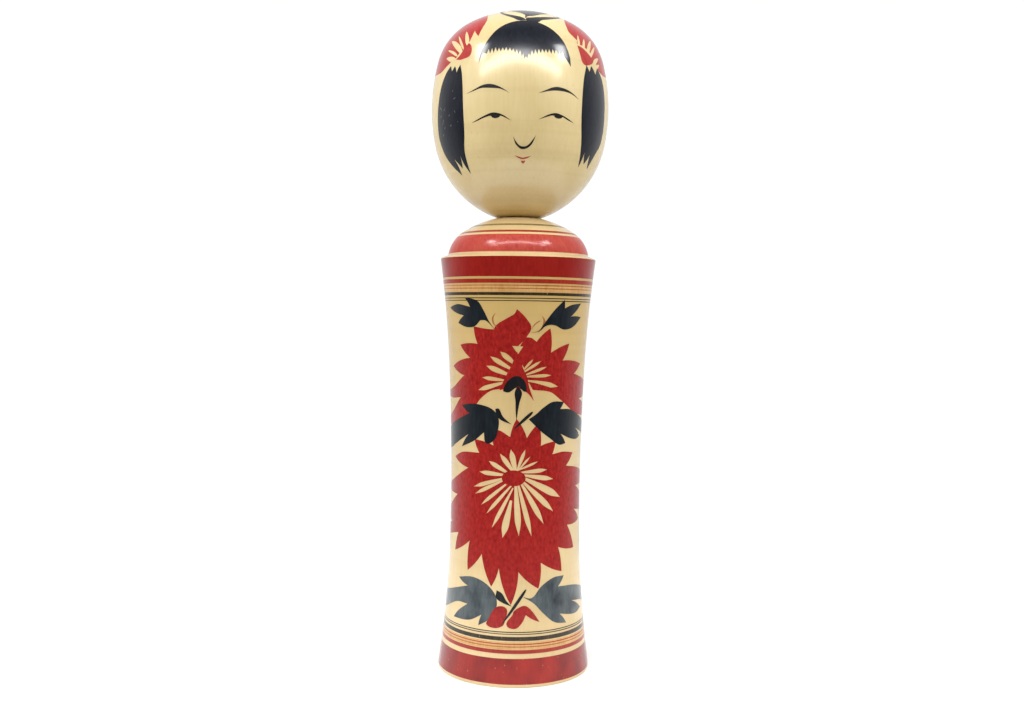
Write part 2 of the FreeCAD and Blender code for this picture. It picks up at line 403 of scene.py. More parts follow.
def unsteady(turn, seed):
    """How a painted line strays as the piece goes round."""
    chance = np.random.default_rng(seed)
    return sum(chance.normal() * np.sin(k * turn + chance.uniform(0, 6)) / k for k in (1, 2, 3, 5, 8, 13, 21))


def rings(name, skin, bands, material, body, wobble=0.03, coat=1):
    """Rings painted on the lathe, each from one height to another."""
    turn = np.arange(AROUND) * 2 * math.pi / AROUND
    along, turns, faces = [], [], []
    for low, high in bands:
        first = len(along)
        ends = [
            np.interp(height, skin.section[:, 1], skin.along) + wobble * unsteady(turn, int(height * 10))
            for height in (low, high)
        ]
        rows = 1 + math.ceil((high - low) / STEP)
        for part in np.linspace(0, 1, rows):
            along.append(ends[0] * (1 - part) + ends[1] * part)
            turns.append(turn)
        for row in range(first, first + rows - 1):
            for a in range(AROUND):
                b = (a + 1) % AROUND
                corners = ((row, a), (row, b), (row + 1, b), (row + 1, a))
                faces.append(tuple(k + r * AROUND for r, k in corners))
    return add_film(name, skin, np.concatenate(along), np.concatenate(turns), faces, material, body, coat)


# ---------------------------------------------------------------- materials

def colour(red, green, blue):
    """A colour given as it looks on a screen, from 0 to 255."""
    return tuple((v / 255) ** 2.2 for v in (red, green, blue)) + (1.0,)


class Material:
    """A material and the few kinds of node that the wood and its paints are made of."""

    def __init__(self, name, roughness, coat, coat_roughness):
        self.data = bpy.data.materials.new(name)
        self.data.use_nodes = True
        self.tree = self.data.node_tree
        self.shader = self.tree.nodes["Principled BSDF"]
        self.shader.inputs["Roughness"].default_value = roughness
        self.shader.inputs["Coat Weight"].default_value = coat
        self.shader.inputs["Coat Roughness"].default_value = coat_roughness
        self.shader.inputs["Coat IOR"].default_value = 1.45
        self.shader.inputs["Specular IOR Level"].default_value = 0.15
        self.where = self.tree.nodes.new("ShaderNodeTexCoord").outputs["Object"]

    def wire(self, node, socket, value):
        if isinstance(value, bpy.types.NodeSocket):
            self.tree.links.new(value, node.inputs[socket])
        else:
            node.inputs[socket].default_value = value

    def noise(self, across, along, detail=4.0, shift=0.0):
        """Noise with this many features to the metre across the grain and along it."""
        mapping = self.tree.nodes.new("ShaderNodeMapping")
        self.wire(mapping, "Vector", self.where)
        self.wire(mapping, "Location", (shift, shift * 0.7, shift * 1.3))
        self.wire(mapping, "Scale", (across, across, along))
        texture = self.tree.nodes.new("ShaderNodeTexNoise")
        self.wire(texture, "Vector", mapping.outputs["Vector"])
        self.wire(texture, "Scale", 1.0)
        self.wire(texture, "Detail", detail)
        return texture.outputs["Fac"]

    def between(self, value, low, high, to_low=0.0, to_high=1.0):
        """Stretches part of a value's range to another range, and clamps it."""
        node = self.tree.nodes.new("ShaderNodeMapRange")
        for socket, given in zip(
            ("Value", "From Min", "From Max", "To Min", "To Max"), (value, low, high, to_low, to_high)
        ):
            self.wire(node, socket, given)
        return node.outputs["Result"]

    def maths(self, operation, first, second):
        node = self.tree.nodes.new("ShaderNodeMath")
        node.operation = operation
        self.wire(node, 0, first)
        self.wire(node, 1, second)
        return node.outputs["Value"]

    def mix(self, amount, first, second):
        node = self.tree.nodes.new("ShaderNodeMix")
        node.data_type = "RGBA"
        self.wire(node, 0, amount)
        self.wire(node, 6, first)
        self.wire(node, 7, second)
        return node.outputs[2]

    def height(self):
        """Height above the floor."""
        node = self.tree.nodes.new("ShaderNodeSeparateXYZ")
        self.wire(node, 0, self.where)
        return node.outputs["Z"]

    def finish(self, base, bump, depth):
        """The colour, and a relief that is this deep in metres."""
        self.wire(self.shader, "Base Color", base)
        node = self.tree.nodes.new("ShaderNodeBump")
        self.wire(node, "Height", bump)
        self.wire(node, "Distance", depth)
        self.wire(node, "Strength", 1.0)
        self.wire(self.shader, "Normal", node.outputs["Normal"])
        return self.data


GRAIN_ACROSS = 900.0             # features of the wood's grain to the metre
GRAIN_ALONG = 90.0
SHADE_DEEPENS = (0.10, 0.17)       # heights on the trunk, in metres, over which a painted shade comes in, darker and yellower where the trunk faces down
SHADE_FADES_AT_RIM = (0.186, 0.190)  # and over which that painted shade ends, at the rim

# The colour of the painted shade on the upper trunk, where it flares out and faces down.
SHADED_WOOD = (190, 156, 84)
LATHE_LINE = (176, 138, 84)
WOOD_SPECK = (150, 112, 66)
RUBBED_WOOD = (206, 170, 116)


def wood_material(name, pale, deep, shade_strength, shift):
    """Waxed dogwood: pale and nearly plain, softly mottled, with faint lathe bands and a few specks, and as
    much painted shade as given on the trunk's upper part, where it faces down.
    """
    wood = Material(name, roughness=0.45, coat=1.0, coat_roughness=0.18)
    grain = wood.noise(GRAIN_ACROSS, GRAIN_ALONG, 5.0, shift)
    broad = wood.noise(38.0, 22.0, 3.0, shift + 3)
    lathe = wood.noise(5.0, 240.0, 3.0, shift + 5)
    tone = wood.maths(
        "ADD", wood.between(broad, 0.3, 0.7, 0.0, 0.8), wood.between(grain, 0.35, 0.65, 0.0, 0.2)
    )
    base = wood.mix(tone, colour(*pale), colour(*deep))
    level = wood.height()
    # Painted shade: the upper trunk turns darker and yellower where it faces down, fading out at the rim.
    shade_mask = wood.maths(
        "MULTIPLY",
        wood.between(level, *SHADE_DEEPENS, 0.0, shade_strength),
        wood.between(level, *SHADE_FADES_AT_RIM, 1.0, 0.0),
    )
    base = wood.mix(shade_mask, base, colour(*SHADED_WOOD))
    lines = wood.between(lathe, 0.5, 0.72, 0.0, 0.16)
    base = wood.mix(lines, base, colour(*LATHE_LINE))
    specks = wood.between(wood.noise(700.0, 260.0, 2.0, shift + 8), 0.74, 0.78, 0.0, 0.35)
    base = wood.mix(specks, base, colour(*WOOD_SPECK))
    return wood.finish(base, wood.maths("ADD", grain, lathe), 0.00003)


def paint_material(name, thick, thin, wear=0.0, streaks=0.5, mottle=160.0, gloss=1.0, shift=0.0):
    """Dye or ink soaked into the wood: the grain, the brush and a little wear show through."""
    paint = Material(name, roughness=0.5, coat=gloss, coat_roughness=0.18)
    grain = paint.noise(1100.0, 220.0, 5.0, 0.0)
    cloud = paint.noise(mottle, mottle * 0.6, 4.0, shift + 2)
    tone = paint.maths(
        "ADD",
        paint.between(grain, 0.35, 0.65, 0.0, streaks),
        paint.between(cloud, 0.3, 0.7, 0.0, 1 - streaks),
    )
    base = paint.mix(tone, colour(*thick), colour(*thin))
    if wear:
        rubbed = paint.between(paint.noise(1500.0, 500.0, 3.0, shift + 4), 0.72 - wear, 0.76 - wear, 0.0, 0.7)
        base = paint.mix(rubbed, base, colour(*RUBBED_WOOD))
    return paint.finish(base, grain, 0.00004)


# ---------------------------------------------------------------- the painting on the trunk

def sliver(outer, inner, width):
    """A bare sliver between two petals: a point at its outer end, fullest a third of the way in."""
    outer, inner = np.array(outer, float), np.array(inner, float)
    run = inner - outer
    side = np.array((-run[1], run[0])) / np.hypot(*run) * width / 2
    spots = (outer + run * 0.3 + side, inner + side * 0.35, inner - side * 0.35, outer + run * 0.3 - side)
    return outline(tip(*outer), spots[0], tip(*spots[1]), tip(*spots[2]), spots[3], bulge=0)


def slivers(*rows):
    return [sliver(*row) for row in rows]


def upper_flower():
    """A chrysanthemum from the side: its petals, and the bare slivers between them."""
    bud = outline(
        tip(-0.3, 165.4), (1.5, 163.8), (4.0, 160.8), (5.6, 158), (5.2, 155.6), (2, 151), tip(0.5, 149.5),
        (-4, 151), tip(-10, 155.5), (-8.6, 158.4), (-4.2, 161.4), (-1.2, 163.4),
    )
    left = outline(
        tip(-6.3, 130.5), (-11, 129.6), (-16, 126), tip(-19, 122.5), (-24, 115.8), (-36, 113),
        tip(-57, 111.5), (-37, 118.8), tip(-28.5, 125.7), (-37, 125), tip(-56, 126.5), (-36, 129.7),
        tip(-25.5, 135.7), tip(-34.5, 139.5), tip(-21.5, 143.7), tip(-27.5, 149.3), tip(-17.3, 150),
        tip(-19, 157.7), (-12.5, 156.6), tip(-8, 156.5), tip(1, 149), tip(-1.5, 140),
    )
    right = outline(
        tip(0, 146), tip(3.6, 153.2), (5.8, 153), tip(8, 151.3), tip(13.8, 157.2), tip(14.6, 146.5),
        tip(24.2, 150.5), tip(20.8, 143), tip(34, 141.3), tip(28.7, 137), (37, 134.9), tip(57, 130),
        (44, 126.5), tip(35, 125.4), (44, 122.5), tip(56, 116.5), (40, 117.5), (30, 119.6), (25, 122.6),
        (20, 126), (15, 129.2), tip(7, 130.2), tip(3, 140),
    )
    bare = slivers(
        ((-7, 146.8), (0, 140.9), 2.3), ((-11.4, 144.6), (-1.2, 138.6), 2.1),
        ((-13.2, 140.5), (-2.2, 136.3), 2.3), ((-15.3, 135.3), (-4.2, 134.2), 1.7),
        ((-17.4, 129.6), (-4.6, 133.6), 2.0), ((6.8, 143.7), (2.2, 138.2), 1.0),
        ((10.4, 143), (2, 137.4), 1.2), ((13, 140.4), (2.4, 136.3), 1.2), ((15.3, 136.6), (3, 136), 1.4),
        ((19, 131.5), (3, 134.4), 2.3),
    )
    bare.append(outline(tip(-2, 149.4), tip(2.5, 149.2), tip(0.4, 145.8), bulge=0))
    return [bud, left, right], bare


def upper_flower_heart():
    """The narrow petals in front of the flower's middle."""
    wedge = outline(
        tip(0, 147), (1.5, 143), (2.5, 140), (4.3, 136), (5.5, 131), tip(7.6, 125.3), (4.4, 129), (0, 131),
        tip(-7.3, 130), (-5.8, 133.6), (-4.4, 136.6), (-2.2, 141), (-1, 144.4),
    )
    return [wedge, stroke((4.8, 133.6), (18.4, 129.9), 1.0)]


def calyx():
    arch = outline(
        tip(-5.8, 129.5), (-5, 132.2), (-2.6, 135.2), (0, 136.3), (2.6, 135.1), (4.1, 132.4), tip(4.3, 129.4),
        (3, 129.6), tip(0.6, 132), (-1.6, 130.2), (-3.4, 129),
    )
    stem = outline(
        tip(0.5, 132), (2.3, 129), (1.4, 125), (0.7, 121), tip(0.1, 116.4), (-0.3, 121), (-0.4, 125),
        (-0.8, 129),
    )
    return [arch, stem]


def lower_flower():
    """A chrysanthemum from the front, its long petals hanging down."""
    petals = outline(
        tip(0.2, 117.5), tip(4.8, 109), tip(10, 115.6), tip(11.2, 105.5), tip(18.6, 107.2), tip(17, 101.5),
        (23, 102.3), tip(30.4, 101.4), tip(25.5, 95.8), (34, 94.4), (45, 91.4), tip(58, 86), (44, 86),
        tip(34.5, 85.8), (41, 82.8), tip(58, 76), (46, 73.2), (40, 74.2), tip(33, 75.3), tip(39.6, 70),
        tip(27, 69), tip(32.4, 58), tip(21, 59.8), tip(22.8, 48.8), tip(11.8, 53.8), tip(10.6, 42.5),
        tip(1.8, 50), tip(-1.3, 35.6), tip(-6.8, 51.5), tip(-10, 43.2), tip(-15, 57), tip(-22.5, 48.8),
        tip(-22, 62), tip(-33, 56), tip(-30.5, 64.5), (-38, 62.8), tip(-59, 58.5), (-46, 66),
        tip(-38.5, 68.3), (-45, 69), tip(-58, 68.5), (-41, 76), tip(-32, 81.5), (-41, 81.8),
        tip(-57, 81), (-37, 87.8), tip(-23.5, 94.5), tip(-34.6, 98.5), (-27, 101.3), tip(-17, 101.8),
        tip(-19.6, 107.6), tip(-10, 105.5), (-10.6, 109), (-8.6, 112.4), tip(-2.5, 109.5),
    )
    bare = slivers(
        ((-2.2, 104), (0.3, 93), 2.5), ((-7, 102), (0, 93), 2.1), ((-12.2, 98.5), (-2.6, 93.2), 2),
        ((-16.9, 93.4), (-4, 92.6), 2), ((-20, 86.5), (-4.5, 91.4), 1.8), ((-19.2, 83.4), (-4.4, 90.8), 1.6),
        ((-16, 78.7), (-2.2, 90.2), 1.5), ((-13.2, 75), (-0.6, 89.4), 1.5), ((-10.4, 69), (-1, 87), 1.7),
        ((-5.4, 64.9), (-1.8, 81.5), 3), ((1.8, 65.8), (0, 90), 2.7), ((7.5, 65.6), (0.8, 90), 2.2),
        ((13.2, 70.8), (2, 90), 2.4), ((18.1, 76), (2.8, 90.2), 2.6), ((21.9, 82.1), (3.4, 91.6), 3.1),
        ((17.8, 90.5), (3, 92.8), 2.1), ((14.5, 94.9), (1.6, 93.8), 1.8), ((10.1, 98.7), (0.4, 94.6), 1),
        ((6.4, 100.9), (0.6, 94.2), 0.9), ((4.2, 104), (0.4, 94), 1.5),
    )
    return [petals], bare


UPPER_LEAVES = [
    outline(
        tip(-8.8, 156), (-13, 160.2), tip(-15.6, 160.4), (-18.5, 157.7), (-23, 157.3), tip(-28.2, 159),
        tip(-24.2, 162.4), tip(-34.6, 165.9), (-27.6, 167.4), tip(-20.4, 166.2), (-21.6, 168.4),
        tip(-23.4, 170.4), (-16.8, 168.9), (-13.9, 164.6), (-11.5, 159.6),
    ),
    outline(
        tip(8.4, 155.2), (12.2, 161), (15.5, 165.4), tip(19.8, 169.7), tip(20.2, 166), (24, 167.6),
        tip(30.2, 168.4), tip(23.8, 162.4), tip(31, 162.2), (26, 158), (20.5, 156.7), (15.6, 158.6),
        (12, 158.3),
    ),
]

MIDDLE_LEAVES = [
    outline(
        (-13.5, 106.2), tip(-14.6, 111), (-20, 106.9), tip(-28, 103.6), tip(-23, 109.7), (-32, 105.2),
        (-42, 101.6), tip(-63, 101), (-47, 109.8), (-34, 114.6), tip(-22.5, 119), tip(-27.6, 122.4),
        (-20, 123.4), (-13, 122.5), (-9.2, 120.3), (-7.6, 117), (-8, 112), (-9.6, 108),
    ),
    outline(
        tip(5.4, 117.3), (8.5, 119.4), (12, 122.4), (16.5, 124.8), tip(22.7, 124.6), tip(20.5, 121.5),
        (27, 121), (35, 118), (47, 113.6), tip(61, 109), (47, 108.4), (38, 110.4), tip(32, 112.4),
        tip(37.6, 108.2), (33, 107.2), (27, 108.2), tip(21.3, 110.4), tip(24.6, 106), (20.5, 105.6),
        (15.5, 108.7), (11, 112),
    ),
]

LOWER_LEAVES = [
    outline(
        tip(-15.2, 25.6), tip(-14, 30.4), (-20, 27.2), tip(-30.2, 26.4), (-27, 30), tip(-21.5, 34),
        (-28, 33.8), (-37, 30), (-47, 26.4), tip(-62, 24.6), (-47, 34.6), (-34, 38.4), tip(-22, 42),
        tip(-28.2, 44.8), (-20, 46.3), (-14, 45), (-9.8, 42), (-7.4, 38), (-7.8, 33), (-11, 28.4),
    ),
    outline(
        tip(3.6, 39.3), (7.6, 38.6), (12, 43.4), (18, 46.6), tip(24.2, 46.8), tip(20.5, 42.4), (30, 41.5),
        (38, 39.6), (47, 36.6), tip(61, 31.5), (47, 30.4), (38, 33), tip(29, 34.6), tip(37.7, 29.6),
        (31, 28.4), tip(21, 30.2), tip(24.6, 25.6), (18, 27), (12.8, 31.4), (8.4, 36.2),
    ),
]

MIDDLE_STEMS = [
    outline(tip(-9.2, 121.6), (-7.6, 121.8), (-5.8, 118.4), tip(-2, 115), (-7, 117), (-8.6, 119)),
    stroke((7.2, 120.6), (-1.2, 112.8), 1.4),
]

LOWER_STEMS = [
    outline(tip(-7.5, 41.8), (-5.2, 40.6), (-3.2, 37.4), tip(-0.9, 35), (-4.6, 36.4), (-7.6, 38.4)),
    stroke((5.2, 42.5), (-5.2, 26.6), 1.3),
]

BUDS = [
    outline(
        (-2.8, 33.5), (-5, 35), (-8, 34), (-11, 28.5), (-11.5, 26.5), (-8, 25.3), (-4.5, 26.5), (-3.5, 29),
    ),
    outline(
        (0, 33), (3, 35), (5.2, 35.2), (8, 32.5), tip(11, 27.9), (7.6, 29.4), tip(5, 31.3), (3.5, 28),
        (0.5, 25.3), (-3, 27), (-0.5, 31.5),
    ),
]

TENDRILS = [
    outline(
        tip(-8.7, 163.8), (-9.7, 161.6), (-9.4, 159.2), tip(-8, 157), (-10, 159), (-10.4, 161.6),
    ),
    outline(
        tip(9.6, 163), (10.6, 160.6), (10, 157.8), (8.6, 156.2), tip(5.4, 155), (9, 155.8), (10.9, 157.6),
        (11.4, 160.6),
    ),
    stroke((9.4, 160.5), (5.8, 156.6), 0.5, bend=-0.6),
]


# ---------------------------------------------------------------- the painting on the head

def fringe(path, pitch, depth):
    """The cut ends of the hair along a line drawn right to left: teeth that point away from the hair."""
    path = np.array(path, float)
    steps = np.hypot(*np.diff(path, axis=0).T)
    along = np.concatenate([[0.0], np.cumsum(steps)])
    count = round(along[-1] / pitch)
    chance = np.random.default_rng(7)
    teeth = []
    for k in range(count):
        middle, gap = (
            np.array([np.interp(part * along[-1], along, path[:, n]) for n in (0, 1)])
            for part in ((k + 0.5) / count, (k + 1) / count)
        )
        outward = middle / np.hypot(*middle)
        teeth.append(tip(*(middle + outward * chance.uniform(-0.2, 0.25))))
        teeth.append(tip(*(gap - outward * depth * chance.uniform(0.75, 1.25))))
    return teeth[:-1]


def bangs():
    line = [
        (26, -45), (21.2, -46.8), (13.1, -49.3), (9, -50.8), (5, -52.7), (2.7, -54.6), (0, -52.6),
        (-6, -50.3), (-10.2, -49.3), (-16, -48.6), (-20.4, -47.3),
    ]
    return outline(
        tip(-25.2, -49.2), (-22.8, -45.3), (-18.1, -42), (-11.4, -37.4), (-5.6, -34.9), (-1, -33.8),
        (4, -33.4), (8.8, -33.9), (15.4, -35.7), (22.1, -38.8), (27.7, -42.9), tip(30.5, -46.8),
        *fringe(line, 2.1, 2.0), tip(-21.4, -45.9), bulge=0,
    )


TOPKNOT = [
    outline(
        tip(2.5, -33), (-1.2, -33.4), (-3.6, -31.2), (-6, -28.7), (-8, -25.8), (-9, -23), (-9.6, -19),
        (-9.2, -13), (-6.5, -4), tip(3, 8), (-4, -4), (-7.6, -13), (-8.5, -19), (-7.8, -22.3),
        (-6.7, -24.7), (-4.9, -26.9), (-2.3, -28.9), (0.6, -30.9),
    ),
    outline(
        tip(2.4, -33.4), tip(2.2, -30.8), (4.6, -30.2), (7.2, -28.9), (9.6, -27.4), (12, -25.5),
        (14.2, -23.2), (16, -20.2), (16.4, -14), (14, -5), tip(3, 8), (15, -4), (17.8, -13), (17.6, -19.6),
        (16.4, -23), (14.4, -26.2), (12, -29), (9.6, -31), (7.8, -33.6),
    ),
    outline(
        tip(1.6, -31.5), (1.8, -29.4), (1.6, -27.5), (0.4, -25.4), (-1.6, -22.6), (-3.7, -19.7),
        (-5.4, -16.6), (-6, -12), (-4.6, -5), tip(1.8, 4), tip(2.8, -17.5), tip(3.9, 4), (10, -4),
        (12.2, -11), (12, -16), (10.8, -19.8), (9, -23), (7.2, -26), (5, -28.2), (3.2, -29),
    ),
]

SIDELOCKS = [
    outline(
        tip(-30.5, 271.3), tip(-30, 268.6), tip(-28.5, 270.7), tip(-27.8, 267.6), tip(-26.1, 270.9),
        (-25.4, 267), (-25, 262), (-24.6, 252), (-24, 241), (-24, 234.5), (-23.2, 230.4),
        tip(-21.3, 224.6), (-24.3, 228.8), tip(-26.1, 232.6), tip(-25, 227.1), (-27, 229.4),
        tip(-28.9, 231.5), tip(-25.3, 224.4), (-29, 228), (-32.3, 232.2), (-34.5, 236.7), (-36, 241.8),
        (-36.6, 248.4), (-36.3, 255.5), (-34.9, 263.2), (-32.7, 268.5), bulge=0.03,
    ),
    outline(
        tip(28.6, 271.9), tip(30.1, 269.2), tip(30.9, 272.2), tip(32.9, 268.8), tip(33.8, 272.2),
        (35.6, 269), (36.9, 264.8), (37.6, 258.5), (37.6, 251), (37, 244), (35.8, 239), (33.4, 234.4),
        tip(30, 228.2), tip(31.3, 234.6), tip(28.3, 229.8), tip(28.6, 235), tip(25.8, 228.2), (26.5, 233.1),
        (26.8, 239), (26.6, 248), (26.9, 258.1), (27.4, 265), bulge=0.03,
    ),
]

LOCK_SCRATCHES = [
    stroke((-35.3, 254.2), (-34.4, 252.4), 0.3), stroke((-34.8, 250.6), (-34.9, 249.4), 0.35),
    stroke((-33.5, 252), (-32.9, 253.4), 0.22), stroke((-33.6, 248.6), (-34.1, 246.2), 0.2),
    stroke((-32.8, 245.2), (-33.2, 244.4), 0.3), stroke((-31.2, 249.4), (-30.6, 250.1), 0.25),
    stroke((-29, 256.2), (-28.1, 256.9), 0.35), stroke((-29.6, 259.4), (-29.2, 260.4), 0.2),
    stroke((-30.4, 245), (-29.9, 245.6), 0.25), stroke((-28.6, 251.4), (-28.2, 250.2), 0.2),
    stroke((-33.9, 241.4), (-33.4, 242.6), 0.2), stroke((-27.2, 246.2), (-26.7, 246.7), 0.2),
]

BROWS = [
    outline(tip(-23.4, 257.5), (-20, 259), (-16.7, 260.5), (-14, 261), (-11.3, 260.6), (-8.3, 259.3),
            tip(-4.3, 256.7), (-8.3, 258.6), (-12.5, 259.2), (-16.7, 259.4), (-20, 258.5)),
    outline(tip(7.6, 256.9), (11.3, 258.7), (13.8, 259.8), (16, 260.2), (19.2, 259.7), (22.1, 258.5),
            tip(25.5, 255.9), (22.1, 257.8), (19.2, 258.5), (15.8, 258.6), (12.5, 258.2)),
]

EYES = [
    outline(tip(-20.9, 245), (-18.3, 246.3), (-15, 247.8), (-12.1, 248.8), (-9.6, 248.6), (-6.7, 247.4),
            tip(-3.7, 245.3), (-6.4, 246.6), (-8.4, 247.4), (-8.9, 246.8), (-10.4, 246.4), (-11.9, 246.8),
            (-12.5, 247.5), (-15.6, 246.8), (-18.4, 245.7)),
    outline(tip(7.8, 246), (10.4, 247.4), (12.9, 248.6), (15.4, 249.1), (17.9, 248.5), (20.4, 247.4),
            tip(23.2, 245.7), (20.4, 246.7), (18.2, 247.7), (17.7, 247.2), (16.3, 246.9), (14.9, 247.3),
            (14.4, 248.0), (12.6, 247.7), (10.4, 246.9)),
]

NOSE = outline(tip(-2.8, 238.8), (-1.4, 236.5), (0.1, 235.1), (1.5, 234.8), (3.1, 235.1), (4.8, 236.7),
               tip(6.9, 239.5), (5.4, 236.2), (3.5, 234.3), (1.5, 233.7), (-0.1, 234.1), (-1.9, 236))

LIPS = outline(tip(-2, 231.2), (-0.4, 230.7), (1.3, 230.3), (3.3, 230.7), tip(4.9, 231.1), (3.3, 230.1),
               (1.3, 229.7), (-0.4, 230.1))

CHIN_DROP = outline((0.6, 228.9), (1.1, 229.2), (1.5, 229), (2, 229.2), (2.4, 228.9), tip(1.5, 227.8))


def left_ribbon():
    """The red bow over the left temple: loops spread from a small knot."""
    loops = outline(
        tip(-40.4, -32.8), (-43, -31.1), (-46.2, -28.6), (-48.9, -25.9), (-51.2, -21.8), (-53.2, -15),
        (-54.2, -7.7), (-53.8, 0), tip(-49, 12), tip(-43.5, 6), tip(-38, 16), tip(-33.5, 7), tip(-27, 15),
        tip(-23, 6), tip(-17, 10), (-15.3, 0), (-15.2, -10), (-15.4, -20), (-15.8, -26.4), (-17.1, -30),
        tip(-21.5, -36.2), tip(-22.6, -30.9), tip(-26.1, -34.8), tip(-29.8, -36.6), tip(-34, -35),
        tip(-38, -34.6),
    )
    bare = [
        stroke((-38, -36.5), (-42.6, -25.6), 2.6), stroke((-36, -35), (-39.6, -23), 1.3),
        stroke((-32.8, -36.5), (-35.6, -20.5), 2.7), stroke((-31.3, -36), (-31.2, -23.8), 1.3),
        stroke((-28.2, -36.5), (-26.8, -26.6), 2.4),
    ]
    knot = outline(
        tip(-37.5, -35.7), (-34.4, -36.4), tip(-30.4, -36.2), (-29.8, -35.2), tip(-29, -36.2),
        tip(-27.3, -35.8), (-26.6, -37.7), (-27, -40.5), (-28.9, -42.1), (-31.6, -41.2), (-35.2, -38.7),
    )
    return loops, bare, knot


def right_ribbon():
    loops = outline(
        tip(29.3, -33.2), tip(28.6, -31.2), (26.5, -31.3), (23.3, -30.5), (21.9, -28.2), (20.5, -24.1),
        (20, -20), (19.8, -12), (19.6, 0), tip(20, 9), tip(26, 5), tip(30, 15), tip(35.5, 6.5),
        tip(41, 16), tip(45, 6), tip(50, 11), (53.4, -1), (53.7, -7.7), (53.3, -14), (52, -19.2),
        (50, -23), tip(47.2, -26.6), tip(44, -26), tip(40.8, -29), tip(37.7, -27.6), tip(34.6, -29.4),
        tip(31.9, -31),
    )
    bare = [
        stroke((30.9, -34), (28, -27), 1.8), stroke((33.7, -32.5), (31.7, -24.6), 1.9),
        stroke((36.6, -31.5), (35.1, -18.2), 2.3), stroke((39.1, -30.5), (38.5, -18.2), 1.7),
        stroke((42.6, -30), (43.6, -20.2), 2.2), stroke((45.4, -29), (46.1, -22), 1.8),
    ]
    knot = outline(
        tip(29.7, -34), (31.9, -32.4), (35.5, -30.8), (38.7, -29.5), tip(40, -29), (41, -27.4),
        tip(41.9, -28.4), (41.9, -31), (40.3, -35), (38.3, -37.6), (36, -38.3), (33.3, -36.6),
    )
    return loops, bare, knot


# ---------------------------------------------------------------- the doll

def paint_trunk(side, dome):
    deep_red = paint_material("rim_dye", (126, 16, 10), (154, 32, 22), shift=1)
    foot_red = paint_material(
        "foot_dye", (106, 12, 10), (160, 34, 22), wear=0.015, streaks=0.2, mottle=110.0, shift=2
    )
    dome_red = paint_material("dome_dye", (166, 46, 38), (190, 74, 58), gloss=0.7, shift=3)
    flower_red = paint_material("flower_dye", (124, 8, 8), (170, 40, 34), streaks=0.25, mottle=900.0, shift=4)
    line_red = paint_material("line_dye", (136, 26, 16), (164, 52, 34), shift=5)
    tint = paint_material("brown_tint", (196, 142, 82), (214, 172, 112), shift=15)
    olive = paint_material("olive_line", (92, 80, 46), (142, 124, 78), shift=16)
    line_brown = paint_material("fine_brown", (140, 78, 40), (176, 116, 68), wear=0.02, shift=6)
    black = paint_material("line_ink", (28, 24, 16), (66, 54, 34), wear=0.03, shift=7)
    stalk = paint_material("stalk_ink", (12, 14, 18), (32, 32, 34), shift=7)
    leaf = paint_material("leaf_ink", (10, 15, 22), (30, 38, 44), shift=8)
    faded = paint_material(
        "faded_leaf_ink", (18, 28, 38), (94, 103, 105), streaks=0.15, mottle=150.0, shift=9
    )
    for name, skin, bands, material, coat in (
        ("dome_ring", dome, [(190.5, 198.3)], dome_red, 1),
        ("dome_lines", dome, [(199.3, 200.2)], line_red, 1),
        ("dome_fine_line", dome, [(202.6, 203.4)], olive, 1),
        ("rim_ring", side, [(179.5, 188.25)], deep_red, 1),
        ("red_lines", side, [(176.7, 178.5), (14.6, 16.2), (18.5, 18.9)], line_red, 2),
        ("brown_tint", side, [(172.9, 176.2), (16.4, 19.6)], tint, 1),
        ("brown_lines", side, [(175.5, 175.95), (174.2, 174.6), (17.35, 17.75)], line_brown, 2),
        ("black_rings", side, [(171.4, 172.7), (20.1, 21.9)], black, 1),
        ("black_lines", side, [(169.95, 170.35), (168.9, 169.3), (23.65, 24.05), (22.8, 23.2)], stalk, 1),
    ):
        rings(name, skin, bands, material, "trunk", coat=coat)
    rings("foot_ring", side, [(1.4, 12.5)], foot_red, "trunk", wobble=0.06)
    petals, bare = upper_flower()
    film("upper_flower", side, side.rolled, petals, flower_red, "trunk", cuts=bare)
    film("upper_flower_heart", side, side.rolled, upper_flower_heart(), flower_red, "trunk", 2)
    petals, bare = lower_flower()
    film("lower_flower", side, side.rolled, petals, flower_red, "trunk", cuts=bare)
    heart = [ellipse(-0.8, 91.3, 5.3, 3.5)]
    for name, shapes, material, coat in (
        ("lower_flower_heart", heart, flower_red, 2), ("calyx", calyx(), stalk, 3),
        ("upper_leaves", UPPER_LEAVES, leaf, 2), ("middle_leaves", MIDDLE_LEAVES, leaf, 2),
        ("lower_leaves", LOWER_LEAVES, faded, 1), ("middle_stems", MIDDLE_STEMS, stalk, 3),
        ("buds", BUDS, flower_red, 2), ("lower_stems", LOWER_STEMS, stalk, 3),
        ("tendrils", TENDRILS, line_brown, 1),
    ):
        film(name, side, side.rolled, shapes, material, "trunk", coat)


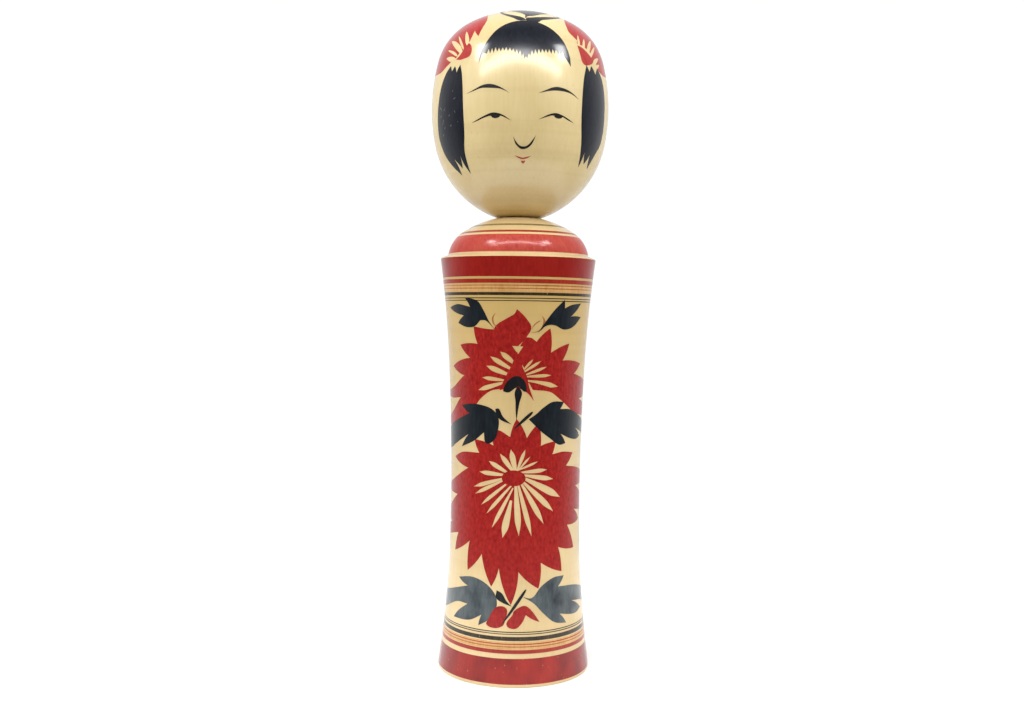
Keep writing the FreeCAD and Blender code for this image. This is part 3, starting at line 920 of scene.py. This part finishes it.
def paint_head(head):
    hair = paint_material("hair_ink", (12, 14, 24), (30, 34, 46), shift=11)
    ink = paint_material("face_ink", (20, 20, 20), (44, 42, 40), streaks=0.3, shift=12)
    ribbon = paint_material("ribbon_dye", (156, 18, 20), (188, 50, 46), streaks=0.6, shift=13)
    scratch = paint_material("lock_scratch", (56, 66, 70), (104, 118, 112), shift=17)
    lip = paint_material("lip_dye", (150, 28, 24), (178, 56, 44), shift=14)
    front, crown = head.facing_front, head.from_crown
    pieces = [
        film("bangs", head, crown, [bangs()], hair, "head"),
        film("topknot", head, crown, TOPKNOT, hair, "head", 2),
        film("sidelocks", head, front, SIDELOCKS, hair, "head", 2),
        film("lock_scratches", head, front, LOCK_SCRATCHES, scratch, "head", 3),
        film("brows", head, front, BROWS, ink, "head"),
        film("eyes", head, front, EYES, ink, "head"),
        film("nose", head, front, [NOSE], ink, "head"),
        film("lips", head, front, [LIPS], lip, "head"),
        film("chin_drop", head, front, [CHIN_DROP], lip, "head"),
    ]
    for side, (loops, bare, knot) in (("left", left_ribbon()), ("right", right_ribbon())):
        pieces.append(film(side + "_ribbon", head, crown, [loops], ribbon, "head", cuts=bare))
        pieces.append(film(side + "_ribbon_knot", head, crown, [knot], ribbon, "head", 2))


def build_trunk():
    # 0.75 is how strong the painted shade is on the trunk's upper part.
    wood = wood_material("trunk_wood", (222, 198, 150), (204, 177, 128), 0.75, shift=0)
    piece = add_object("wood_trunk", turned_mesh("wood_trunk", trunk_section()), wood, "trunk")
    cut_away(piece, claw_slots())
    smooth(piece.data)
    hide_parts("body")
    paint_trunk(Skin(trunk_side()), Skin(shoulder_dome()))


def build_head():
    wood = wood_material("head_wood", (234, 213, 160), (218, 194, 138), 0.0, shift=20)
    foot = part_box("head")[0][2] / MM
    piece = add_object("wood_head", turned_mesh("wood_head", head_section(foot)), wood, "head")
    smooth(piece.data)
    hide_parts("head")
    paint_head(Skin(head_side(foot)))


# ---------------------------------------------------------------- stage, camera and lights

def studio_world():
    """White paper behind and at the sides, and a dark room behind the camera. The camera sees only white."""
    world = bpy.data.worlds.new("studio")
    world.use_nodes = True
    tree = world.node_tree
    where = tree.nodes.new("ShaderNodeTexCoord")
    parts = tree.nodes.new("ShaderNodeSeparateXYZ")
    tree.links.new(where.outputs["Generated"], parts.inputs[0])
    level = tree.nodes.new("ShaderNodeMapRange")
    tree.links.new(parts.outputs["Y"], level.inputs["Value"])
    for socket, value in (
        ("From Min", -0.25), ("From Max", 0.8), ("To Min", DARK_ROOM), ("To Max", WHITE_PAPER),
    ):
        level.inputs[socket].default_value = value
    tree.links.new(level.outputs["Result"], tree.nodes["Background"].inputs["Strength"])
    tree.nodes["Background"].inputs["Color"].default_value = (1, 1, 1, 1)
    shown = tree.nodes.new("ShaderNodeBackground")
    shown.inputs["Color"].default_value = (1, 1, 1, 1)
    shown.inputs["Strength"].default_value = 1.05
    mix = tree.nodes.new("ShaderNodeMixShader")
    tree.links.new(tree.nodes.new("ShaderNodeLightPath").outputs["Is Camera Ray"], mix.inputs[0])
    tree.links.new(tree.nodes["Background"].outputs[0], mix.inputs[1])
    tree.links.new(shown.outputs[0], mix.inputs[2])
    tree.links.new(mix.outputs[0], tree.nodes["World Output"].inputs["Surface"])
    return world


def build_stage():
    mesh = bpy.data.meshes.new("floor")
    mesh.from_pydata(ring_of(FLOOR_RADIUS, 0), [], [tuple(range(AROUND))])
    floor = bpy.data.objects.new("floor", mesh)
    bpy.context.scene.collection.objects.link(floor)
    pale = bpy.data.materials.new("floor")
    pale.use_nodes = True
    shader = pale.node_tree.nodes["Principled BSDF"]
    for socket, value in (
        ("Base Color", (0.8, 0.8, 0.8, 1)), ("Roughness", 0.9),
        ("Emission Color", (1, 1, 1, 1)), ("Emission Strength", 0.2),
    ):
        shader.inputs[socket].default_value = value
    mesh.materials.append(pale)
    bpy.context.scene.world = studio_world()
    bpy.context.scene.view_settings.view_transform = "Standard"


def area_light(name, shape, place, target, size, radiance):
    """A light of an even brightness all over, turned towards a target. The camera doesn't see it."""
    data = bpy.data.lights.new(name, "AREA")
    data.shape = shape
    data.size, data.size_y = size
    covered = math.pi / 4 if shape == "ELLIPSE" else 1.0
    data.energy = radiance * math.pi * size[0] * size[1] * covered
    light = bpy.data.objects.new(name, data)
    light.location = place
    light.rotation_euler = (Vector(place) - Vector(target)).to_track_quat("Z", "Y").to_euler()
    light.visible_camera = False
    bpy.context.scene.collection.objects.link(light)
    return light


def build_lights():
    """Wide lights at a distance for an even light, and small ones near the doll for the glints on its wax."""
    middle = (0, 0, 0.26)
    distance = 1.2
    for name, azimuth, elevation, size, radiance in (
        ("front", 0, 32, (1.8, 0.26), 9),
        ("left", -80, 28, (1.1, 1.0), 4.2),
        ("right", 80, 28, (1.1, 1.0), 3.6),
        ("roof", 0, 75, (1.2, 1.2), 1.8),
    ):
        turn, up = math.radians(azimuth), math.radians(elevation)
        away = Vector((math.sin(turn) * math.cos(up), -math.cos(turn) * math.cos(up), math.sin(up)))
        light = area_light(name, "ELLIPSE", Vector(middle) + away * distance, middle, size, radiance)
        light.visible_glossy = False
    for name, place, size, radiance in (
        ("front_glint", (0, -0.130, 0.338), (0.30, 0.022), 15),
        ("left_glint", (-0.166, -0.115, 0.405), (0.05, 0.05), 24),
        ("right_glint", (0.172, -0.115, 0.405), (0.05, 0.05), 24),
    ):
        light = area_light(name, "RECTANGLE", place, (0, 0, 0.23), size, radiance)
        light.visible_diffuse = False


def build_camera():
    data = bpy.data.cameras.new("camera")
    data.lens = 37.9
    data.sensor_width = 36
    camera = bpy.data.objects.new("camera", data)
    pan, down, roll = (math.radians(v) for v in (0.27, 88.10, 0.72))
    camera.matrix_world = (
        Matrix.Translation((0, -0.5002, 0.1625)) @ Matrix.Rotation(pan, 4, "Z")
        @ Matrix.Rotation(down, 4, "X") @ Matrix.Rotation(roll, 4, "Z")
    )
    bpy.context.scene.collection.objects.link(camera)
    bpy.context.scene.camera = camera


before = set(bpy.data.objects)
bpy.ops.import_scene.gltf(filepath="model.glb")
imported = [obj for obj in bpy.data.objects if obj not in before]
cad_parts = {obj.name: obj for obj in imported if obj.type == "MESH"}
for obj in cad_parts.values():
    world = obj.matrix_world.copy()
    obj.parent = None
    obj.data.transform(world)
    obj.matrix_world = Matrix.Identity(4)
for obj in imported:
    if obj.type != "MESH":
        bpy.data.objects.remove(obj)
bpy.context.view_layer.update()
build_camera()
build_stage()
build_lights()
build_trunk()
build_head()
